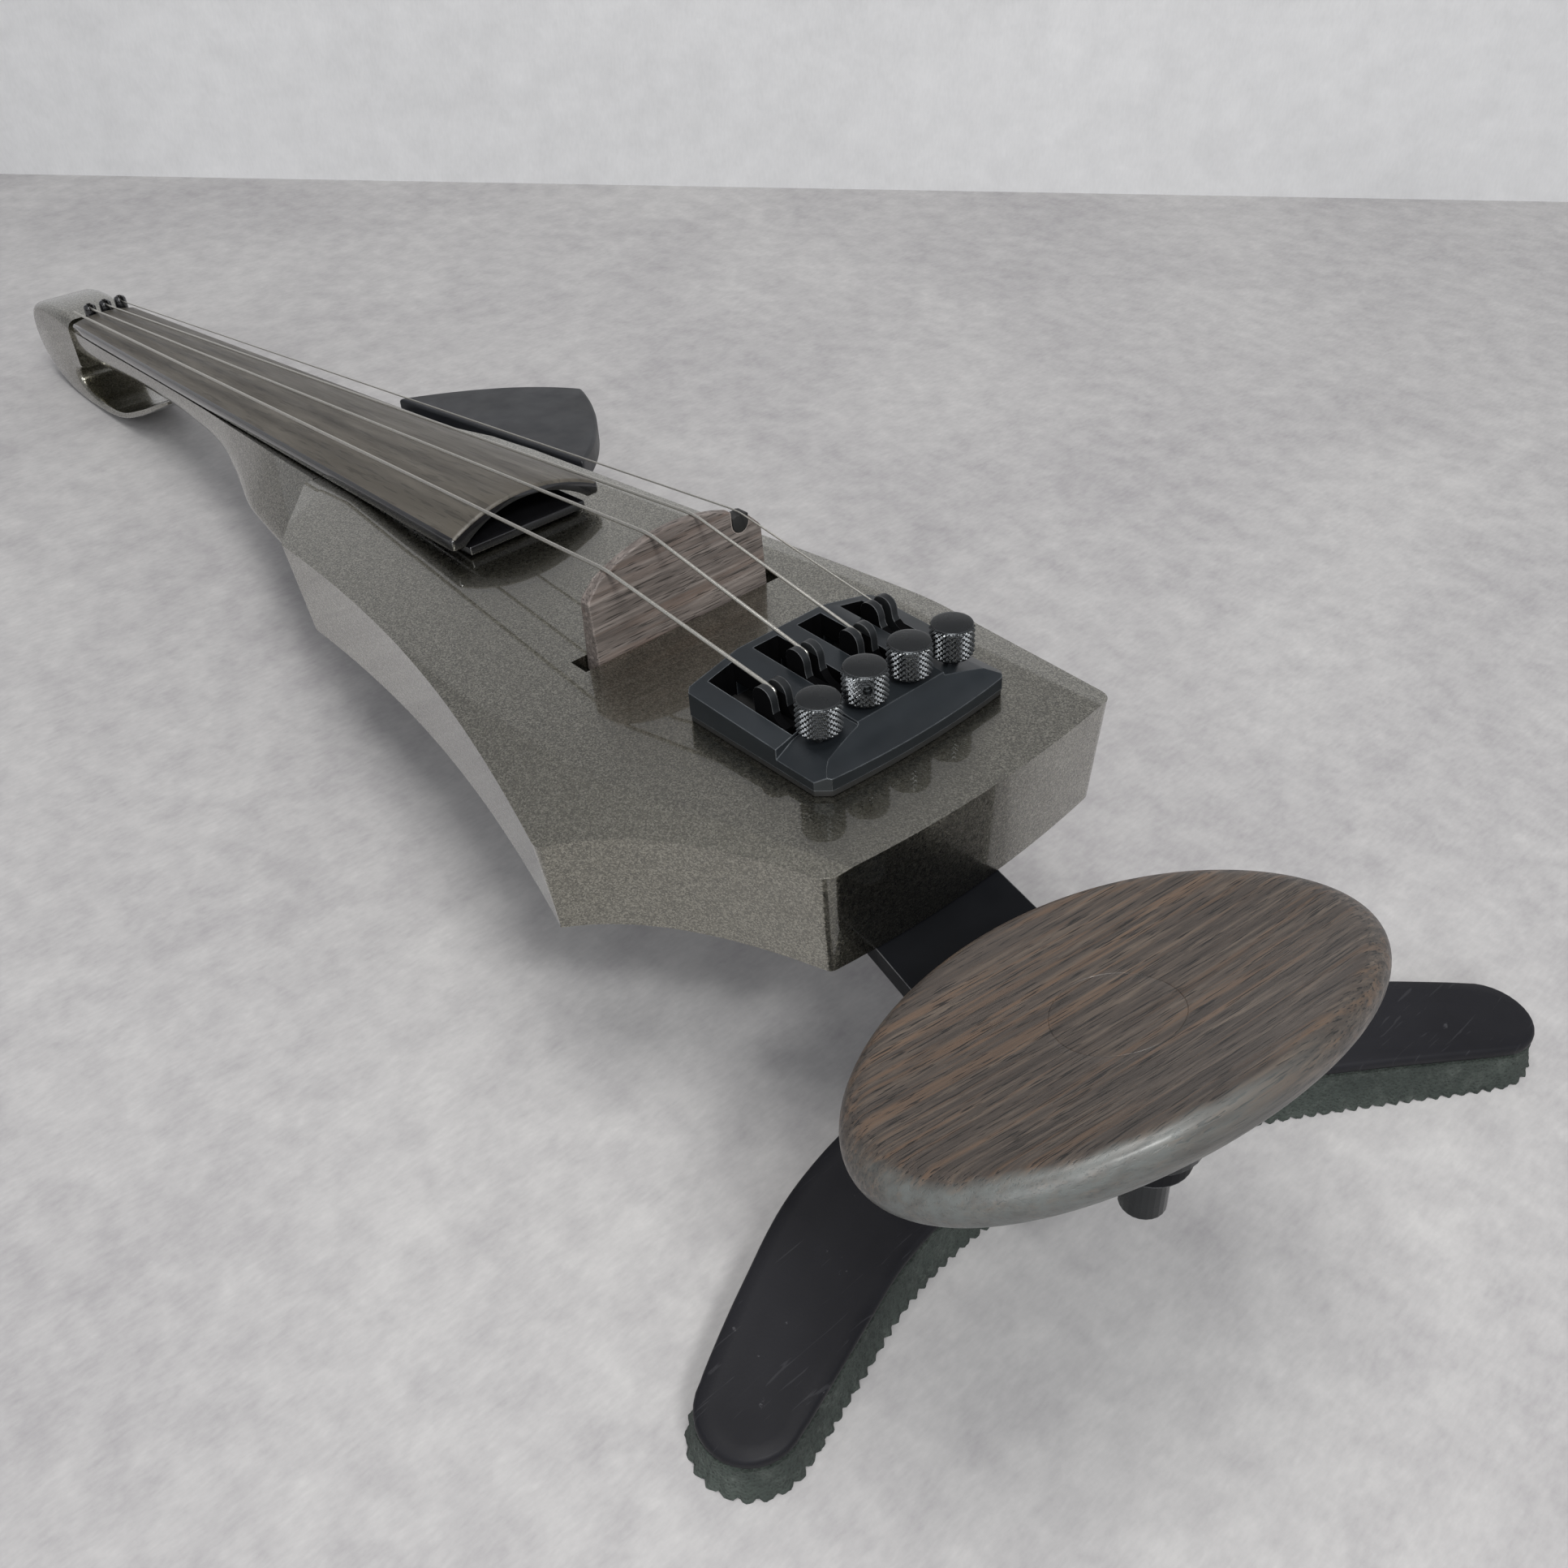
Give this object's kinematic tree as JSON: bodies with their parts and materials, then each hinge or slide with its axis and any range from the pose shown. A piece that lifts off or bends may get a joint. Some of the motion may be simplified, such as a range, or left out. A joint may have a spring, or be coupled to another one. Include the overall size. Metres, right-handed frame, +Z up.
{
  "type": "electric violin",
  "caption": "Solid-body electric violin with a hooked head, fine tuners at the bridge end, a side upper-bout plate, and a rear bracket carrying a chinrest and a padded shoulder rest",
  "frame": {"origin": "centre of the overall box in plan, at the table surface the instrument lies on", "axes": "+X towards the head, +Y to the bass-string side, +Z up; the instrument leans 4.4 degrees nose down because it lies on its head and on the shoulder rest"},
  "size_m": [0.543, 0.1908, 0.0948],
  "materials": {
    "pewter_paint": "solid wood under a pewter metallic flake coat with a clear gloss top coat",
    "board_wood": "satin dark wood with black gloss edges",
    "bridge_wood": "satin dark wood with reddish streaks",
    "chinrest_wood": "oiled dark wood, grain along its length",
    "satin_black": "blue-black satin anodised",
    "black_steel": "black plated, knurled where it is turned",
    "steel": "plain satin steel",
    "string_steel": "fine ribbon winding on steel",
    "brass": "turned brass",
    "black_rubber": "matt black",
    "pickup_black": "matt black",
    "circuit": "green resist",
    "rest_plastic": "satin black with scuffs and glue traces",
    "foam": "dark green-grey cellular foam rubber"
  },
  "bodies": {
    "instrument": {"body": "pewter_paint", "neck": "pewter_paint", "fingerboard": "board_wood", "fingerboard_support": "satin_black", "nut": "black_rubber", "bridge": "bridge_wood", "bridge_insert": "black_rubber", "bridge_pickup": "pickup_black", "string_g": "string_steel", "string_d": "string_steel", "string_a": "string_steel", "string_e": "string_steel", "tuner_base": "satin_black", "tuner_gasket": "black_rubber", "tuner_pivot_pin": "steel", "upper_bout_plate": "satin_black", "upper_bout_screw_1": "black_steel", "upper_bout_screw_2": "black_steel", "control_cover": "satin_black", "jack_socket": "steel", "tone_board": "circuit", "pickup_lead": "black_rubber", "control_cover_screw_1": "black_steel", "control_cover_screw_2": "black_steel", "volume_pot": "steel", "tone_pot": "steel", "bracket_rail": "satin_black", "bracket_screw_1": "black_steel", "bracket_screw_2": "black_steel"},
    "tuner_g": {"tuner_knob_g": "black_steel", "tuner_screw_g": "black_steel"},
    "trunnion_g": {"tuner_nut_g": "brass"},
    "lever_g": {"tuner_lever_g": "satin_black"},
    "tuner_d": {"tuner_knob_d": "black_steel", "tuner_screw_d": "black_steel"},
    "trunnion_d": {"tuner_nut_d": "brass"},
    "lever_d": {"tuner_lever_d": "satin_black"},
    "tuner_a": {"tuner_knob_a": "black_steel", "tuner_screw_a": "black_steel"},
    "trunnion_a": {"tuner_nut_a": "brass"},
    "lever_a": {"tuner_lever_a": "satin_black"},
    "tuner_e": {"tuner_knob_e": "black_steel", "tuner_screw_e": "black_steel"},
    "trunnion_e": {"tuner_nut_e": "brass"},
    "lever_e": {"tuner_lever_e": "satin_black"},
    "volume_control": {"volume_knob": "black_steel"},
    "tone_control": {"tone_knob": "black_steel"},
    "chin_post": {"chinrest_post": "black_steel", "chinrest_pin": "steel"},
    "chin_wheel": {"chinrest_wheel": "black_steel"},
    "chinrest": {"chinrest_bracket": "satin_black", "chinrest_plate": "chinrest_wood", "chinrest_plug": "chinrest_wood"},
    "shoulder_post": {"shoulder_rest_post": "black_steel"},
    "shoulder_wheel": {"shoulder_rest_wheel": "black_steel"},
    "shoulder_rest": {"shoulder_rest_bracket": "satin_black", "shoulder_rest_plate": "rest_plastic", "shoulder_rest_foam": "foam", "shoulder_rest_pin": "steel"}
  },
  "joints": [
    {"name": "tune_g", "type": "hinge", "parent": "instrument", "child": "tuner_g", "pos_m": [-0.16123, 0.0138, 0.07195], "axis": [0.0769, 0, 0.997], "range_deg": [-600, 600]},
    {"name": "lever_g_tilt", "type": "hinge", "parent": "instrument", "child": "lever_g", "pos_m": [-0.15151, 0.0138, 0.07441], "axis": [0, 1, 0], "range_deg": [-5.4, 5.4], "deforming": ["string_g"]},
    {"name": "nut_g_swivel", "type": "hinge", "parent": "lever_g", "child": "trunnion_g", "pos_m": [-0.16116, 0.0138, 0.07285], "axis": [0, 1, 0], "range_deg": [-5.4, 5.4]},
    {"name": "tune_d", "type": "hinge", "parent": "instrument", "child": "tuner_d", "pos_m": [-0.16123, 0.00207, 0.07195], "axis": [0.0769, 0, 0.997], "range_deg": [-600, 600]},
    {"name": "lever_d_tilt", "type": "hinge", "parent": "instrument", "child": "lever_d", "pos_m": [-0.15151, 0.00207, 0.07441], "axis": [0, 1, 0], "range_deg": [-5.4, 5.4], "deforming": ["string_d"]},
    {"name": "nut_d_swivel", "type": "hinge", "parent": "lever_d", "child": "trunnion_d", "pos_m": [-0.16116, 0.00207, 0.07285], "axis": [0, 1, 0], "range_deg": [-5.4, 5.4]},
    {"name": "tune_a", "type": "hinge", "parent": "instrument", "child": "tuner_a", "pos_m": [-0.16123, -0.00966, 0.07195], "axis": [0.0769, 0, 0.997], "range_deg": [-600, 600]},
    {"name": "lever_a_tilt", "type": "hinge", "parent": "instrument", "child": "lever_a", "pos_m": [-0.15151, -0.00966, 0.07441], "axis": [0, 1, 0], "range_deg": [-5.4, 5.4], "deforming": ["string_a"]},
    {"name": "nut_a_swivel", "type": "hinge", "parent": "lever_a", "child": "trunnion_a", "pos_m": [-0.16116, -0.00966, 0.07285], "axis": [0, 1, 0], "range_deg": [-5.4, 5.4]},
    {"name": "tune_e", "type": "hinge", "parent": "instrument", "child": "tuner_e", "pos_m": [-0.16123, -0.0214, 0.07195], "axis": [0.0769, 0, 0.997], "range_deg": [-600, 600]},
    {"name": "lever_e_tilt", "type": "hinge", "parent": "instrument", "child": "lever_e", "pos_m": [-0.15151, -0.0214, 0.07441], "axis": [0, 1, 0], "range_deg": [-5.4, 5.4], "deforming": ["string_e"]},
    {"name": "nut_e_swivel", "type": "hinge", "parent": "lever_e", "child": "trunnion_e", "pos_m": [-0.16116, -0.0214, 0.07285], "axis": [0, 1, 0], "range_deg": [-5.4, 5.4]},
    {"name": "volume_turn", "type": "hinge", "parent": "instrument", "child": "volume_control", "pos_m": [-0.09482, -0.0088, 0.04226], "axis": [0.0769, 0, 0.997], "range_deg": [-145, 145]},
    {"name": "tone_turn", "type": "hinge", "parent": "instrument", "child": "tone_control", "pos_m": [-0.06829, -0.0088, 0.04021], "axis": [0.0769, 0, 0.997], "range_deg": [-145, 145]},
    {"name": "chin_height", "type": "slide", "parent": "instrument", "child": "chin_post", "axis": [0.0769, 0, 0.997], "range_m": [0, 0.008]},
    {"name": "chin_clamp", "type": "hinge", "parent": "instrument", "child": "chin_wheel", "pos_m": [-0.24671, 0.02269, 0.05648], "axis": [0.0769, 0, 0.997], "range_deg": [-180, 180]},
    {"name": "chin_tilt", "type": "hinge", "parent": "chin_post", "child": "chinrest", "pos_m": [-0.24626, 0.02269, 0.06236], "axis": [0, 1, 0], "range_deg": [-12, 8]},
    {"name": "shoulder_height", "type": "slide", "parent": "instrument", "child": "shoulder_post", "axis": [0.0769, 0, 0.997], "range_m": [-0.004, 0.008]},
    {"name": "shoulder_clamp", "type": "hinge", "parent": "instrument", "child": "shoulder_wheel", "pos_m": [-0.20481, 0.01453, 0.04422], "axis": [0.0769, 0, 0.997], "range_deg": [-180, 180]},
    {"name": "shoulder_tilt", "type": "hinge", "parent": "shoulder_post", "child": "shoulder_rest", "pos_m": [-0.20658, 0.01453, 0.02129], "axis": [0, 1, 0], "range_deg": [-12, 12]}
  ],
  "couplings": [
    {"joint": "lever_g_tilt", "follows": "tune_g", "ratio": 0.0088419},
    {"joint": "nut_g_swivel", "follows": "tune_g", "ratio": -0.0088419},
    {"joint": "lever_d_tilt", "follows": "tune_d", "ratio": 0.0088419},
    {"joint": "nut_d_swivel", "follows": "tune_d", "ratio": -0.0088419},
    {"joint": "lever_a_tilt", "follows": "tune_a", "ratio": 0.0088419},
    {"joint": "nut_a_swivel", "follows": "tune_a", "ratio": -0.0088419},
    {"joint": "lever_e_tilt", "follows": "tune_e", "ratio": 0.0088419},
    {"joint": "nut_e_swivel", "follows": "tune_e", "ratio": -0.0088419}
  ]
}
